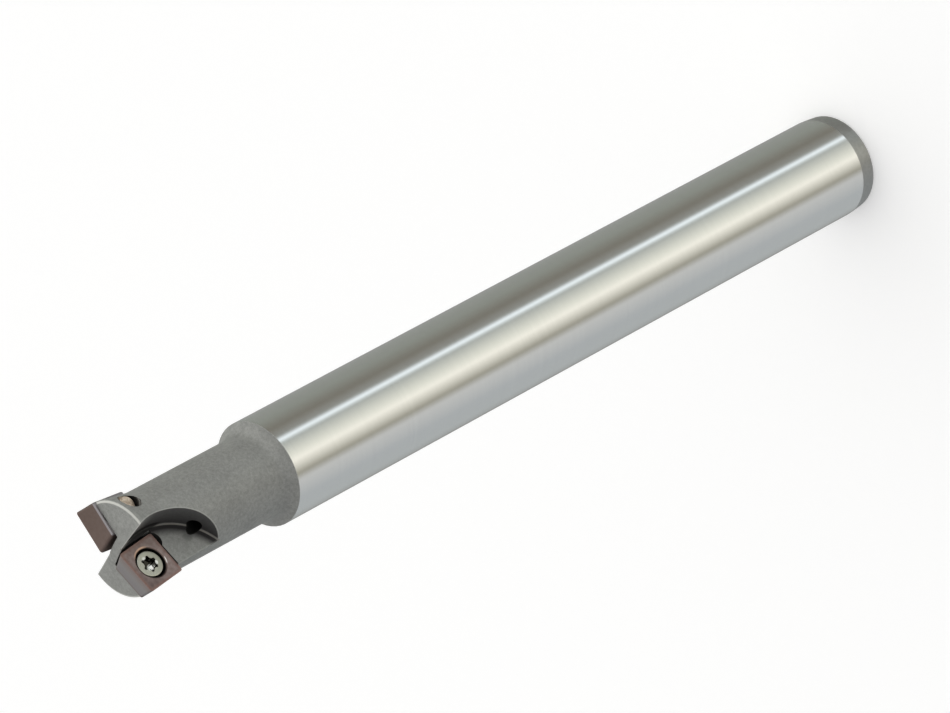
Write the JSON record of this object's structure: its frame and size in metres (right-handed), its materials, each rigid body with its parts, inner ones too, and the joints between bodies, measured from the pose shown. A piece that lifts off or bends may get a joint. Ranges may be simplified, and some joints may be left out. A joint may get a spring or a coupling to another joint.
{
  "type": "high feed end mill",
  "caption": "Indexable high feed end mill with a cylindrical shank, a slim neck and square inserts clamped by countersunk screws in a two-flute head.",
  "frame": {"origin": "centre of the shank's rear face, on the tool's axis", "axes": "+Z along the tool's axis from the shank to the cutting tip; insert_1 lies on the +X side with its rake face towards +Y"},
  "size_m": [0.016, 0.016, 0.16],
  "materials": {
    "body_steel": "ground bright along the shank, fine matte blast on the neck, head and rear band",
    "coated_carbide": "thin brown violet vapour coating, satin",
    "screw_steel": "bright, pale"
  },
  "bodies": {
    "root": {"cutter_body": "body_steel", "insert_1": "coated_carbide", "insert_2": "coated_carbide", "clamp_screw_1": "screw_steel", "clamp_screw_2": "screw_steel"}
  },
  "joints": []
}
